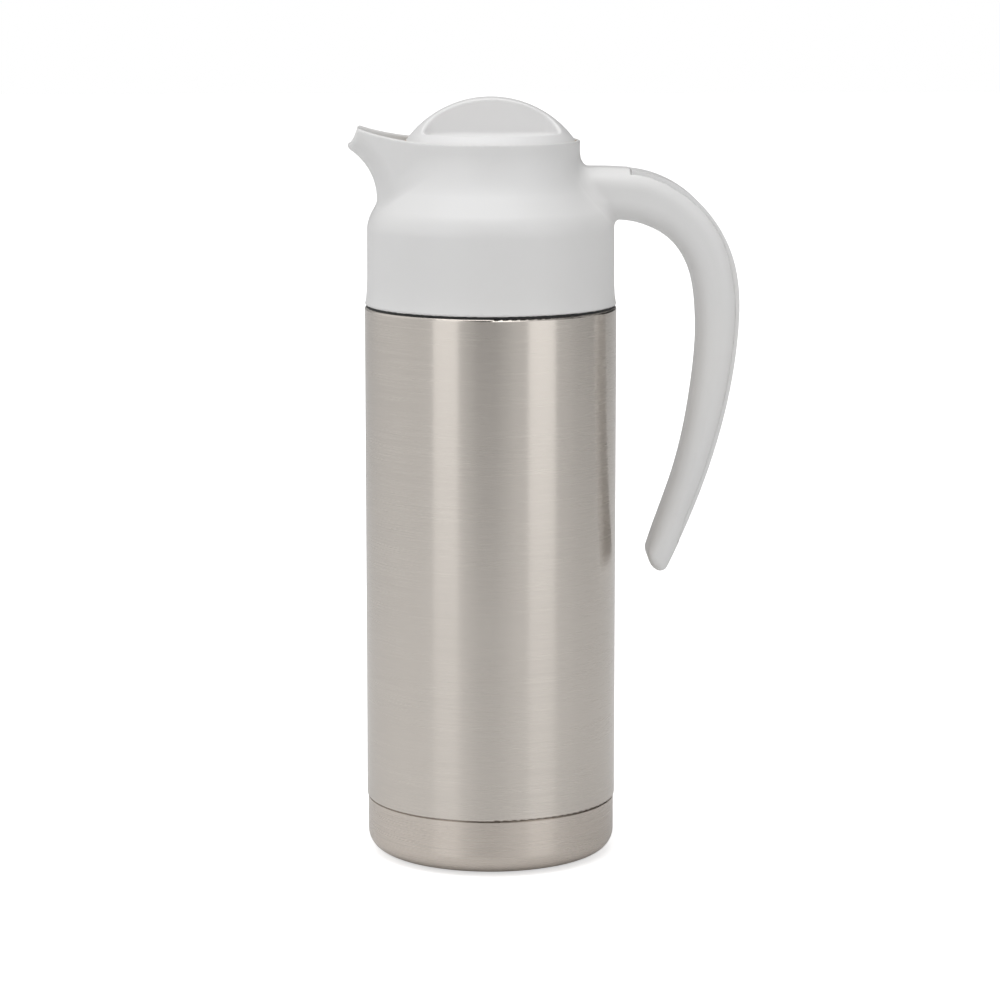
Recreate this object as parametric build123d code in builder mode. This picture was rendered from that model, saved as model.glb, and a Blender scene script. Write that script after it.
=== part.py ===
from build123d import *
import os
from math import acos, asin, cos, degrees, radians, sin, sqrt

# Stainless vacuum carafe with a moulded shoulder, a beak spout, a hook handle and a twist-out stopper.
# Millimetres. The origin is the centre of the foot on the body's axis, +Z is up, the spout points
# along -X and the handle along +X.

# ---- driving dimensions ---------------------------------------------------------------------------
body_radius = 47.0
base_seam = 21.0          # height of the seam between the base cup and the outer wall
collar_seam = 207.5       # height of the seam between the outer wall and the shoulder
rim_height = 269.4        # top of the shoulder's neck
lid_apex = 285.3          # top of the fin
steel_wall = 0.6
plastic_wall = 2.2
vacuum_gap = 3.8          # between the outer and the inner steel wall
running_gap = 0.3         # between pieces that move past each other
push_fit = 0.02           # between pieces that are pressed or welded together
through = 40.0            # a length past anything that a cut goes through

# ---- base -----------------------------------------------------------------------------------------
pad_radius = 35.0
pad_thickness = 1.6
pad_recess_gap = 0.4      # round the pad in its seat
spacer_outer = 32.0
spacer_inner = 28.0
cup_radius = 46.6
cup_corner = 7.0
cup_clearance = 0.6       # height of the cup's foot ring above the table
seam_gap = 0.5

# ---- vacuum flask ---------------------------------------------------------------------------------
spigot_radius = body_radius - 1.1          # outer wall where the base cup slides over it
spigot_bottom = 9.5
collar_spigot_radius = body_radius - 2.6   # outer wall inside the shoulder's skirt
collar_spigot_top = 214.0
mouth_height = 248.0
mouth_radius = 28.6
lip_radius = 30.8
flask_radius = body_radius - steel_wall - vacuum_gap
flask_bottom = 18.0
flask_shoulder = 212.0    # where the inner wall starts to close in
neck_bottom = 232.0       # where the cone meets the straight neck
end_plate_height = 12.0
seal_boss_depth = 1.8     # boss round the pumping hole, down from the top of the end plate
seal_radius = 3.0
getter_reach = 14.0       # from the axis
getter_radius = 4.0
getter_height = 2.0
dish_height = 3.9
dish_corner = 3.4
dish_overlap = 1.5        # of the inner wall over the dish
foil_gap = 0.3
foil_thickness = 0.2

# ---- shoulder -------------------------------------------------------------------------------------
skirt_radius = 47.2
skirt_bottom = collar_seam + 0.8
neck_radius = 33.2
bore_radius = 32.0
flange_bottom = mouth_height + 1.4
flange_top = flange_bottom + 2.0
flange_radius = 29.2
ledge_bottom = 262.4
ledge_top = 264.4
ledge_radius = 29.8
ledge_sweep = 44.0        # degrees, one ledge at +Y and one at -Y
cone_foot = (46.0, 240.5)     # where the skirt's line meets the cone's
cone_head = (neck_radius, 257.5)
inner_skirt_radius = 35.2     # inner skirt that the lock ring bears on
inner_skirt_depth = 6.5
lock_height = 6.0
lock_gap = 0.1

# ---- spout ----------------------------------------------------------------------------------------
spout_tip = 53.2          # reach of the pouring lip from the axis
spout_lip_height = 275.0
beak_radius = 21.2        # the hollow curve under the beak
beak_centre = (-63.4, 248.0)
spout_root = (-26.0, 21.2)
spout_front = (-50.6, 12.4)
spout_back = -12.0        # the beak's block and the trough's end inside the neck
trough_back = -20.0
trough_front = -60.0
beak_bottom = 236.0
beak_round = 7.0          # rounding of the beak's lower edges
keel_fall = 25.0          # degrees that the hollow curve runs on below its centre
trough_wall = 2.0

# ---- handle ---------------------------------------------------------------------------------------
handle_width = 24.0
handle_lip = 2.6          # wall each side of the cored face
handle_edge = 1.5
handle_grip_edge = 5.5    # rounding of the edges that the fingers close on
cover_inset = 0.5
cover_thickness = 2.2
core_depth = 8.0
handle_end_radius = 4.6   # inner corner of the handle's free end
handle_end = (57.6, 111.3)
handle_long_edge = 150.0  # only the handle's long curved edges are longer
handle_middle = 84.0      # between the middles of the grip and the outer edges
channel_half = handle_width / 2 - handle_lip
channel_first = 0.11      # where the channel starts and stops along the outer line, from 0 to 1
channel_last = 0.93
channel_points = 7

# ---- stopper --------------------------------------------------------------------------------------
cap_radius = 31.35
cap_bottom = 266.8
cap_edge_height = 269.3
fin_half_width = 4.6
scoop_radius = 28.2
scoop_floor = 270.9
scoop_cove = 2.0          # rounding at the foot of a scoop
brow_round = 1.0          # rounding of a scoop's upper edge
skirt_outer = 29.4
plug_outer = 27.6
stopper_wall = 1.6
plug_bottom = 238.0
plug_top = 252.0
plug_wall = 2.0
skirt_gap = 0.4           # under the stopper's skirt
web_reach = 23.8          # middle of the four webs between pot and plug
web_length = 5.6
groove_bottom = 241.0
groove_top = 246.0
groove_depth = 0.8
pot_radius = 21.5
pot_bottom = 236.0
plate_bottom = 264.7
plate_top = 266.0
lug_sweep = 36.0
lug_radius = 31.6
lug_bottom = 259.4
window_bottom = 252.6
window_top = 258.6
window_sweep = 70.0       # degrees, at +Y, so that a quarter turn brings it to the spout
window_angle = 90.0
seal_inner = 28.0
seal_edge_drop = 0.35     # of the seal's upstand below the cap's edge
scoop_corner = 6.0
fin_wall = 1.6
fin_span = 26.0

os.makedirs("parts", exist_ok=True)


def wedge(angle, sweep):
    """Points of a triangular sector about the axis, centred on an angle from +X in degrees."""
    half = radians(sweep / 2)
    middle = radians(angle)
    far = through / cos(half)
    left = (far * cos(middle + half), far * sin(middle + half))
    right = (far * cos(middle - half), far * sin(middle - half))
    return [(0, 0), right, left, (0, 0)]


def inset_points(curve, depth):
    """Points along the channel at one depth inside a curve that runs clockwise round the handle."""
    points = []
    for index in range(channel_points):
        place = channel_first + (channel_last - channel_first) * index / (channel_points - 1)
        along = curve % place
        spot = curve @ place
        points.append((spot.X + along.Y * depth, spot.Y - along.X * depth))
    return points


# ---- base_pad: the rubber disc that the carafe stands on ------------------------------------------
with BuildPart() as base_pad:
    with BuildSketch(Plane.XY):
        Circle(pad_radius)
    extrude(amount=pad_thickness)
    fillet(base_pad.edges().group_by(Axis.Z)[0], radius=0.5)
base_pad.part.label = "base_pad"
export_step(base_pad.part, "parts/base_pad.step")

# ---- base_cup: pressed steel cup, open at the top, with a raised seat for the pad ------------------
cup_top = base_seam - seam_gap / 2
seat_radius = pad_radius + pad_recess_gap
with BuildPart() as base_cup:
    with BuildSketch(Plane.XZ):
        with BuildLine():
            foot = FilletPolyline(
                (0, pad_thickness),
                (seat_radius, pad_thickness),
                (seat_radius + 1.0, cup_clearance),
                (cup_radius, cup_clearance),
                (cup_radius, cup_top),
                radius=[0.6, 0.6, cup_corner],
            )
            Line(foot @ 1, (0, cup_top))
            Line((0, cup_top), foot @ 0)
        make_face()
    revolve(axis=Axis.Z)
    with BuildSketch(Plane.XZ):
        with BuildLine():
            inside = FilletPolyline(
                (0, pad_thickness + steel_wall),
                (seat_radius + steel_wall, pad_thickness + steel_wall),
                (seat_radius + steel_wall + 0.6, cup_clearance + steel_wall),
                (cup_radius - steel_wall, cup_clearance + steel_wall),
                (cup_radius - steel_wall, cup_top + 1),
                radius=[0.5, 0.5, cup_corner - steel_wall],
            )
            Line(inside @ 1, (0, cup_top + 1))
            Line((0, cup_top + 1), inside @ 0)
        make_face()
    revolve(axis=Axis.Z, mode=Mode.SUBTRACT)
base_cup.part.label = "base_cup"
export_step(base_cup.part, "parts/base_cup.step")

# ---- base_spacer: moulded ring that holds the cup off the end plate --------------------------------
with BuildPart() as base_spacer:
    with BuildSketch(Plane.XY.offset(pad_thickness + steel_wall)):
        Circle(spacer_outer)
        Circle(spacer_inner, mode=Mode.SUBTRACT)
    extrude(amount=end_plate_height - 2 * steel_wall - pad_thickness)
base_spacer.part.label = "base_spacer"
export_step(base_spacer.part, "parts/base_spacer.step")

# ---- outer_shell: spun steel wall, stepped in at the base seam and necked in under the shoulder ----
shell_low = base_seam + seam_gap / 2
cone_top = neck_bottom + 7.0
outer_outline = [
    (spigot_radius, spigot_bottom),
    (spigot_radius, shell_low),
    (body_radius, shell_low),
    (body_radius, collar_seam),
    (collar_spigot_radius, collar_seam),
    (collar_spigot_radius, collar_spigot_top),
    (lip_radius - 0.1, cone_top),
    (lip_radius - 0.1, mouth_height - steel_wall),
]
inner_outline = [
    (spigot_radius - steel_wall, spigot_bottom),
    (spigot_radius - steel_wall, shell_low + steel_wall),
    (body_radius - steel_wall, shell_low + steel_wall),
    (body_radius - steel_wall, collar_seam - steel_wall),
    (collar_spigot_radius - steel_wall, collar_seam - steel_wall),
    (collar_spigot_radius - steel_wall, collar_spigot_top - 0.3),
    (lip_radius - 0.1 - steel_wall, cone_top),
    (lip_radius - 0.1 - steel_wall, mouth_height - steel_wall),
]
with BuildPart() as outer_shell:
    for outline, radii, how in (
        (outer_outline, [0.4, 0.7, 0.9, 0.7, 6.0, 4.0], Mode.ADD),
        (inner_outline, [0.7, 0.3, 0.3, 0.7, 5.4, 4.6], Mode.SUBTRACT),
    ):
        with BuildSketch(Plane.XZ):
            with BuildLine():
                wall = FilletPolyline(*outline, radius=radii)
                Line(wall @ 1, (0, outline[-1][1]))
                Line((0, outline[-1][1]), (0, outline[0][1]))
                Line((0, outline[0][1]), wall @ 0)
            make_face()
        revolve(axis=Axis.Z, mode=how)
outer_shell.part.label = "outer_shell"
export_step(outer_shell.part, "parts/outer_shell.step")

# ---- outer_bottom: flanged end plate inside the lower end of the outer wall ------------------------
plate_radius = spigot_radius - steel_wall - push_fit
with BuildPart() as outer_bottom:
    with BuildSketch(Plane.XY.offset(end_plate_height - steel_wall)):
        Circle(plate_radius)
    extrude(amount=steel_wall)
    with BuildSketch(Plane.XY.offset(spigot_bottom)):
        Circle(plate_radius)
        Circle(plate_radius - steel_wall, mode=Mode.SUBTRACT)
    extrude(amount=end_plate_height - steel_wall - spigot_bottom)
    with BuildSketch(Plane.XY.offset(end_plate_height - seal_boss_depth)):
        Circle(seal_radius + 3.0)
    extrude(amount=seal_boss_depth - steel_wall)
    with BuildSketch(Plane.XY.offset(end_plate_height - seal_boss_depth)):
        Circle(seal_radius)
    extrude(amount=seal_boss_depth, mode=Mode.SUBTRACT)
outer_bottom.part.label = "outer_bottom"
export_step(outer_bottom.part, "parts/outer_bottom.step")

# ---- vacuum_seal_plug: fused bead in the pumping hole ----------------------------------------------
with BuildPart() as vacuum_seal_plug:
    with BuildSketch(Plane.XY.offset(end_plate_height - seal_boss_depth)):
        Circle(seal_radius - push_fit)
    extrude(amount=seal_boss_depth - 0.2)
    fillet(vacuum_seal_plug.edges().group_by(Axis.Z)[0], radius=0.8)
vacuum_seal_plug.part.label = "vacuum_seal_plug"
export_step(vacuum_seal_plug.part, "parts/vacuum_seal_plug.step")

# ---- getter: pill on the vacuum side of the end plate ----------------------------------------------
with BuildPart() as getter:
    with BuildSketch(Plane.XY.offset(end_plate_height)):
        with Locations((getter_reach, 0)):
            Circle(getter_radius)
    extrude(amount=getter_height)
    fillet(getter.edges().group_by(Axis.Z)[-1], radius=0.5)
getter.part.label = "getter"
export_step(getter.part, "parts/getter.step")

# ---- inner_bottom: dish welded inside the lower end of the inner wall -------------------------------
dish_radius = flask_radius - steel_wall - push_fit
dish_top = flask_bottom + dish_height
with BuildPart() as inner_bottom:
    with BuildSketch(Plane.XZ):
        with BuildLine():
            dish = FilletPolyline(
                (0, flask_bottom),
                (dish_radius, flask_bottom),
                (dish_radius, dish_top),
                radius=[dish_corner],
            )
            Line(dish @ 1, (0, dish_top))
            Line((0, dish_top), dish @ 0)
        make_face()
    revolve(axis=Axis.Z)
    with BuildSketch(Plane.XZ):
        with BuildLine():
            hollow = FilletPolyline(
                (0, flask_bottom + steel_wall),
                (dish_radius - steel_wall, flask_bottom + steel_wall),
                (dish_radius - steel_wall, dish_top + 1),
                radius=[dish_corner - steel_wall],
            )
            Line(hollow @ 1, (0, dish_top + 1))
            Line((0, dish_top + 1), hollow @ 0)
        make_face()
    revolve(axis=Axis.Z, mode=Mode.SUBTRACT)
inner_bottom.part.label = "inner_bottom"
export_step(inner_bottom.part, "parts/inner_bottom.step")

# ---- inner_flask: inner steel wall with its cone, neck and lip --------------------------------------
wall_bottom = dish_top - dish_overlap
flask_outline = [
    (flask_radius, wall_bottom),
    (flask_radius, flask_shoulder),
    (mouth_radius + steel_wall, neck_bottom),
    (mouth_radius + steel_wall, mouth_height),
]
flask_inside = [
    (flask_radius - steel_wall, wall_bottom),
    (flask_radius - steel_wall, flask_shoulder - 0.2),
    (mouth_radius, neck_bottom - 0.2),
    (mouth_radius, mouth_height),
]
with BuildPart() as inner_flask:
    for outline, radii, how in (
        (flask_outline, [8.0, 6.0], Mode.ADD),
        (flask_inside, [7.4, 6.6], Mode.SUBTRACT),
    ):
        with BuildSketch(Plane.XZ):
            with BuildLine():
                wall = FilletPolyline(*outline, radius=radii)
                Line(wall @ 1, (0, mouth_height))
                Line((0, mouth_height), (0, wall_bottom))
                Line((0, wall_bottom), wall @ 0)
            make_face()
        revolve(axis=Axis.Z, mode=how)
    with BuildSketch(Plane.XY.offset(mouth_height - steel_wall)):
        Circle(lip_radius)
        Circle(mouth_radius, mode=Mode.SUBTRACT)
    extrude(amount=steel_wall)
inner_flask.part.label = "inner_flask"
export_step(inner_flask.part, "parts/inner_flask.step")

# ---- radiation_foil: copper foil round the inner wall ----------------------------------------------
with BuildPart() as radiation_foil:
    with BuildSketch(Plane.XY.offset(wall_bottom + 4)):
        Circle(flask_radius + foil_gap + foil_thickness)
        Circle(flask_radius + foil_gap, mode=Mode.SUBTRACT)
    extrude(amount=flask_shoulder - wall_bottom - 16)
radiation_foil.part.label = "radiation_foil"
export_step(radiation_foil.part, "parts/radiation_foil.step")

# ---- collar_gasket: dark ring in the seam over the outer wall ---------------------------------------
with BuildPart() as collar_gasket:
    with BuildSketch(Plane.XY.offset(collar_seam)):
        Circle(body_radius - 0.5)
        Circle(collar_spigot_radius + 0.75, mode=Mode.SUBTRACT)
    extrude(amount=skirt_bottom - collar_seam)
collar_gasket.part.label = "collar_gasket"
export_step(collar_gasket.part, "parts/collar_gasket.step")

# ---- neck_gasket: silicone ring on the steel lip ----------------------------------------------------
with BuildPart() as neck_gasket:
    with BuildSketch(Plane.XY.offset(mouth_height)):
        Circle(lip_radius + 0.6)
        Circle(mouth_radius + 0.4, mode=Mode.SUBTRACT)
    extrude(amount=flange_bottom - mouth_height)
    fillet(neck_gasket.edges().group_by(Axis.Z)[-1], radius=0.3)
neck_gasket.part.label = "neck_gasket"
export_step(neck_gasket.part, "parts/neck_gasket.step")

# ---- shoulder: skirt, cone, neck, beak spout and hook handle in one moulding ------------------------
outer_line = Spline(
    (30.0, 259.3),
    (46.0, 259.3),
    (60.0, 257.5),
    (76.2, 248.1),
    (87.3, 234.0),
    (92.6, 211.0),
    (90.2, 180.0),
    (82.7, 149.6),
    (74.4, 127.0),
    (64.6, 106.6),
    tangents=[(1, 0), (-0.45, -0.9)],
)
grip_line = Spline(
    handle_end,
    (61.5, 124.4),
    (69.2, 147.3),
    (74.1, 170.2),
    (76.8, 200.0),
    (73.8, 221.5),
    (66.0, 233.0),
    (54.3, 238.9),
    (40.0, 240.2),
    tangents=[(0.2, 1), (-1, 0)],
)
with BuildPart() as handle:
    with BuildSketch(Plane.XZ):
        with BuildLine():
            add(outer_line)
            Line(outer_line @ 1, grip_line @ 0)
            add(grip_line)
            Line(grip_line @ 1, outer_line @ 0)
        make_face()
        fillet(vertices().sort_by_distance(handle_end)[0], radius=handle_end_radius)
    extrude(amount=handle_width / 2, both=True)
    side_edges = handle.edges().filter_by(lambda edge: abs(edge.center().Y) > handle_width / 2 - 0.1)
    long_sides = side_edges.filter_by(lambda edge: edge.length > handle_long_edge)
    grip_edges = long_sides.filter_by(lambda edge: (edge @ 0.5).X < handle_middle)
    fillet(grip_edges, radius=handle_grip_edge)
    outer_edges = handle.edges().filter_by(lambda edge: (edge @ 0.5).X > handle_middle)
    lip_edges = outer_edges.filter_by(lambda edge: edge.length > handle_long_edge)
    fillet(lip_edges, radius=handle_edge)

# The cored channel of the handle's outer face, and the strip that closes it.
strip_top = inset_points(outer_line, cover_inset)
strip_under = inset_points(outer_line, cover_inset + cover_thickness)
core_floor = inset_points(outer_line, core_depth)
above_lips = inset_points(outer_line, -3.0)
channel_shapes = {}
for shape_name, near_points, far_points, half in (
    ("channel", above_lips, strip_under, channel_half),
    ("strip", strip_top, strip_under, channel_half - 0.05),
    ("core", strip_top, core_floor, channel_half - 1.2),
):
    with BuildPart() as channel_piece:
        with BuildSketch(Plane.XZ):
            with BuildLine():
                near = Spline(*near_points)
                far = Spline(*far_points)
                Line(near @ 0, far @ 0)
                Line(near @ 1, far @ 1)
            make_face()
        extrude(amount=half, both=True)
    channel_shapes[shape_name] = channel_piece.part

# The beak: a block as wide as its plan, hollowed underneath, with rounded lower edges.
with BuildPart() as beak:
    with BuildSketch(Plane.XY.offset(beak_bottom)):
        with BuildLine():
            half_plan = Polyline((spout_back, 0), (spout_back, spout_root[1]), spout_root, spout_front)
            mirror(half_plan, about=Plane.XZ)
            ThreePointArc(spout_front, (-spout_tip, 0), (spout_front[0], -spout_front[1]))
        make_face()
    extrude(amount=through)
    with BuildSketch(Plane.XZ):
        with BuildLine():
            rim_curve = ThreePointArc((-24.0, rim_height), (-40.0, 271.6), (-51.4, spout_lip_height))
            keel_top = degrees(acos(-(beak_centre[0] + spout_tip) / beak_radius))
            keel = CenterArc(beak_centre, beak_radius, keel_top, -keel_top - keel_fall)
            ThreePointArc(rim_curve @ 1, (-52.7, 270.8), keel @ 0)
            Line(keel @ 1, (spout_back, (keel @ 1).Y))
            Line((spout_back, (keel @ 1).Y), (spout_back, rim_height))
            Line((spout_back, rim_height), rim_curve @ 0)
        make_face()
    extrude(amount=through, both=True, mode=Mode.INTERSECT)
    keel_face = beak.faces().filter_by(GeomType.CYLINDER).sort_by(Axis.Z)[0]
    keel_sides = keel_face.edges().filter_by(lambda edge: abs(edge.center().Y) > spout_front[1])
    fillet(keel_sides, radius=beak_round)

with BuildPart() as trough:
    with BuildSketch(Plane.XY.offset(flange_top)):
        with BuildLine():
            taper = (spout_root[1] - spout_front[1]) / (spout_root[0] - spout_front[0])
            inner_root = (spout_root[0], spout_root[1] - trough_wall * sqrt(1 + taper**2))
            inner_tip = (trough_front, inner_root[1] - taper * (spout_root[0] - trough_front))
            half_trough = Polyline(
                (trough_back, 0),
                (trough_back, inner_root[1]),
                inner_root,
                inner_tip,
                (trough_front, 0),
            )
            mirror(half_trough, about=Plane.XZ)
        make_face()
    extrude(amount=through)
    with BuildSketch(Plane.XZ):
        with Locations(beak_centre):
            Circle(beak_radius + trough_wall)
    extrude(amount=through, both=True, mode=Mode.SUBTRACT)

with BuildPart() as shoulder:
    with BuildSketch(Plane.YZ):
        with BuildLine():
            side = FilletPolyline(
                (skirt_radius - 1.5, skirt_bottom),
                (skirt_radius, skirt_bottom + 0.01),
                (skirt_radius, skirt_bottom + 2.2),
                (skirt_radius - 0.9, skirt_bottom + 11.0),
                cone_foot,
                cone_head,
                (neck_radius, rim_height),
                (neck_radius - 1.1, rim_height + 0.01),
                radius=[0.3, 2.0, 30.0, 12.0, 24.0, 0.7],
            )
            Line(side @ 1, (0, rim_height + 0.01))
            Line((0, rim_height + 0.01), (0, skirt_bottom))
            Line((0, skirt_bottom), side @ 0)
        make_face()
    revolve(axis=Axis.Z)
    add(beak.part)
    add(handle.part)
    add(channel_shapes["channel"], mode=Mode.SUBTRACT)
    add(channel_shapes["core"], mode=Mode.SUBTRACT)
    with BuildSketch(Plane.YZ):
        with BuildLine():
            hollow = FilletPolyline(
                (skirt_radius - plastic_wall, skirt_bottom - 1),
                (skirt_radius - plastic_wall, skirt_bottom + 3),
                (cone_foot[0] - plastic_wall, skirt_bottom + 12),
                (cone_foot[0] - plastic_wall, cone_foot[1] - 1.3),
                (36.4, flange_bottom),
                (29.0, flange_bottom + 0.001),
                radius=[2.0, 20.0, 8.0, 1.0],
            )
            Line(hollow @ 1, (0, flange_bottom + 0.001))
            Line((0, flange_bottom + 0.001), (0, skirt_bottom - 1))
            Line((0, skirt_bottom - 1), hollow @ 0)
        make_face()
    revolve(axis=Axis.Z, mode=Mode.SUBTRACT)
    with BuildSketch(Plane.XY.offset(flange_bottom - 1)):
        Circle(flange_radius)
    extrude(amount=5, mode=Mode.SUBTRACT)
    with BuildSketch(Plane.XY.offset(flange_top)):
        Circle(bore_radius)
    extrude(amount=through, mode=Mode.SUBTRACT)
    add(trough.part, mode=Mode.SUBTRACT)
    # skirt inside the cone that the lock ring bears on
    with BuildSketch(Plane.XY.offset(flange_bottom - inner_skirt_depth)):
        Circle(inner_skirt_radius)
        Circle(neck_radius, mode=Mode.SUBTRACT)
    extrude(amount=inner_skirt_depth + 0.1)
    # bayonet ledges inside the bore
    for ledge_angle in (90, 270):
        with BuildSketch(Plane.XY.offset(ledge_bottom)):
            Circle(bore_radius + 0.2)
            Circle(ledge_radius, mode=Mode.SUBTRACT)
            with BuildLine():
                Polyline(*wedge(ledge_angle, ledge_sweep))
            make_face(mode=Mode.INTERSECT)
        extrude(amount=ledge_top - ledge_bottom)
shoulder.part.label = "shoulder"
export_step(shoulder.part, "parts/shoulder.step")

# ---- handle_cover: strip that closes the cored face of the handle ----------------------------------
with BuildPart() as handle_cover:
    add(channel_shapes["strip"])
handle_cover.part.label = "handle_cover"
export_step(handle_cover.part, "parts/handle_cover.step")

# ---- shoulder_lock_ring: barbed ring between the steel neck and the shoulder's inner skirt ----------
with BuildPart() as shoulder_lock_ring:
    with BuildSketch(Plane.XY.offset(mouth_height - steel_wall - lock_height)):
        Circle(neck_radius - lock_gap)
        Circle(lip_radius, mode=Mode.SUBTRACT)
    extrude(amount=lock_height)
    fillet(shoulder_lock_ring.edges().group_by(Axis.Z)[0], radius=0.5)
shoulder_lock_ring.part.label = "shoulder_lock_ring"
export_step(shoulder_lock_ring.part, "parts/shoulder_lock_ring.step")

# ---- stopper_body: plug, skirt with its window, lugs, top plate and insulated pot -------------------
pot_inside = pot_radius - stopper_wall
plug_inside = plug_outer - plug_wall
with BuildPart() as stopper_body:
    with BuildSketch(Plane.XY.offset(plug_bottom)):
        Circle(plug_outer)
        Circle(plug_inside, mode=Mode.SUBTRACT)
    extrude(amount=plug_top - plug_bottom)
    with BuildSketch(Plane.XY.offset(flange_top + skirt_gap)):
        Circle(skirt_outer)
        Circle(plug_inside, mode=Mode.SUBTRACT)
    extrude(amount=plate_top - flange_top - skirt_gap)
    with BuildSketch(Plane.XY.offset(plate_bottom)):
        Circle(bore_radius - 0.9)
        Circle(pot_inside, mode=Mode.SUBTRACT)
    extrude(amount=plate_top - plate_bottom)
    with BuildSketch(Plane.XY.offset(pot_bottom)):
        Circle(pot_radius)
    extrude(amount=plate_top - pot_bottom)
    with BuildSketch(Plane.XY.offset(plug_bottom + 1)):
        with PolarLocations(0, 4, start_angle=45):
            with Locations((web_reach, 0)):
                Rectangle(web_length, stopper_wall)
    extrude(amount=plate_top - plug_bottom - 1)
    with BuildSketch(Plane.XY.offset(pot_bottom + stopper_wall)):
        Circle(pot_inside)
    extrude(amount=through, mode=Mode.SUBTRACT)
    with BuildSketch(Plane.XY.offset(groove_bottom)):
        Circle(plug_outer + 1)
        Circle(plug_outer - groove_depth, mode=Mode.SUBTRACT)
    extrude(amount=groove_top - groove_bottom, mode=Mode.SUBTRACT)
    with BuildSketch(Plane.XY.offset(window_bottom)):
        Circle(skirt_outer + 1)
        Circle(pot_radius + 1.0, mode=Mode.SUBTRACT)
        with BuildLine():
            Polyline(*wedge(window_angle, window_sweep))
        make_face(mode=Mode.INTERSECT)
    extrude(amount=window_top - window_bottom, mode=Mode.SUBTRACT)
    for lug_angle in (90, 270):
        with BuildSketch(Plane.XY.offset(lug_bottom)):
            Circle(lug_radius)
            Circle(skirt_outer - 0.8, mode=Mode.SUBTRACT)
            with BuildLine():
                Polyline(*wedge(lug_angle, lug_sweep))
            make_face(mode=Mode.INTERSECT)
        extrude(amount=ledge_bottom - running_gap - lug_bottom)
stopper_body.part.label = "stopper_body"
export_step(stopper_body.part, "parts/stopper_body.step")

# ---- stopper_insulation: foam block in the pot -------------------------------------------------------
with BuildPart() as stopper_insulation:
    with BuildSketch(Plane.XY.offset(pot_bottom + stopper_wall + 0.05)):
        Circle(pot_inside - 0.1)
    extrude(amount=plate_top - pot_bottom - stopper_wall - 0.1)
    fillet(stopper_insulation.edges(), radius=0.8)
stopper_insulation.part.label = "stopper_insulation"
export_step(stopper_insulation.part, "parts/stopper_insulation.step")

# ---- stopper_gasket: lip seal of the plug in the steel mouth -----------------------------------------
gasket_inner = plug_outer - 0.75
gasket_waist = plug_outer + 0.3
gasket_lip = mouth_radius - 0.06
gasket_foot = groove_bottom + 0.05
gasket_head = groove_top - 0.05
with BuildPart() as stopper_gasket:
    with BuildSketch(Plane.XZ):
        with BuildLine():
            Polyline(
                (gasket_inner, gasket_foot),
                (gasket_lip, gasket_foot),
                (gasket_lip, groove_bottom + 0.9),
                (gasket_waist, groove_bottom + 1.6),
                (gasket_waist, groove_bottom + 2.8),
                (gasket_lip, groove_bottom + 3.5),
                (gasket_lip, groove_top - 0.6),
                (gasket_waist, gasket_head),
                (gasket_inner, gasket_head),
                close=True,
            )
        make_face()
    revolve(axis=Axis.Z)
stopper_gasket.part.label = "stopper_gasket"
export_step(stopper_gasket.part, "parts/stopper_gasket.step")

# ---- rim_seal: silicone ring under the cap, with an upstand that shows round its edge ---------------
seal_foot = plate_top + push_fit
seal_face = cap_bottom - push_fit
upstand_inner = cap_radius + push_fit
upstand_outer = cap_radius + 0.4
upstand_top = cap_edge_height - seal_edge_drop
with BuildPart() as rim_seal:
    with BuildSketch(Plane.XZ):
        with BuildLine():
            Polyline(
                (seal_inner, seal_foot),
                (upstand_outer, seal_foot),
                (upstand_outer, upstand_top),
                (upstand_inner, upstand_top),
                (upstand_inner, seal_face),
                (seal_inner, seal_face),
                close=True,
            )
        make_face()
    revolve(axis=Axis.Z)
rim_seal.part.label = "rim_seal"
export_step(rim_seal.part, "parts/rim_seal.step")

# ---- lid_cap: dome with a finger scoop on each side of the fin ---------------------------------------
dome_rise = lid_apex - cap_edge_height
dome_radius = (cap_radius**2 + dome_rise**2) / (2 * dome_rise)
dome_centre = Vector(0, 0, lid_apex - dome_radius)
arc_half = asin(cap_radius / dome_radius) / 2
arc_middle = (dome_radius * sin(arc_half), dome_centre.Z + dome_radius * cos(arc_half))
wall_half = fin_half_width + fin_wall
half_plane = 2 * through
with BuildPart() as lid_cap:
    with BuildSketch(Plane.XZ):
        with BuildLine():
            cap_edge = (cap_radius, cap_edge_height)
            Polyline((0, lid_apex), (0, cap_bottom), (cap_radius, cap_bottom), cap_edge)
            ThreePointArc(cap_edge, arc_middle, (0, lid_apex))
        make_face()
    revolve(axis=Axis.Z)
    for scoop_side in (1, -1):
        with BuildSketch(Plane.XY.offset(scoop_floor)):
            Circle(scoop_radius)
            with Locations((0, scoop_side * (wall_half - through))):
                Rectangle(half_plane, half_plane, mode=Mode.SUBTRACT)
            fillet(vertices(), radius=scoop_corner)
        extrude(amount=through, mode=Mode.SUBTRACT)
    with BuildSketch(Plane.XZ):
        with BuildLine():
            fin_inside = ThreePointArc((-fin_span, cap_bottom), (0, lid_apex - 3.0), (fin_span, cap_bottom))
            Line(fin_inside @ 1, fin_inside @ 0)
        make_face()
    extrude(amount=fin_half_width - 0.8, both=True, mode=Mode.SUBTRACT)
    floor_edges = lid_cap.edges().filter_by(lambda edge: abs((edge @ 0.5).Z - scoop_floor) < 0.01)
    fillet(floor_edges, radius=scoop_cove)
    dome_face = lid_cap.faces().filter_by(GeomType.SPHERE).sort_by(SortBy.AREA)[-1]
    brow_edges = dome_face.edges().filter_by(lambda edge: edge.bounding_box().min.Z > cap_edge_height + 1)
    fillet(brow_edges, radius=brow_round)
lid_cap.part.label = "lid_cap"
export_step(lid_cap.part, "parts/lid_cap.step")
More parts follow.
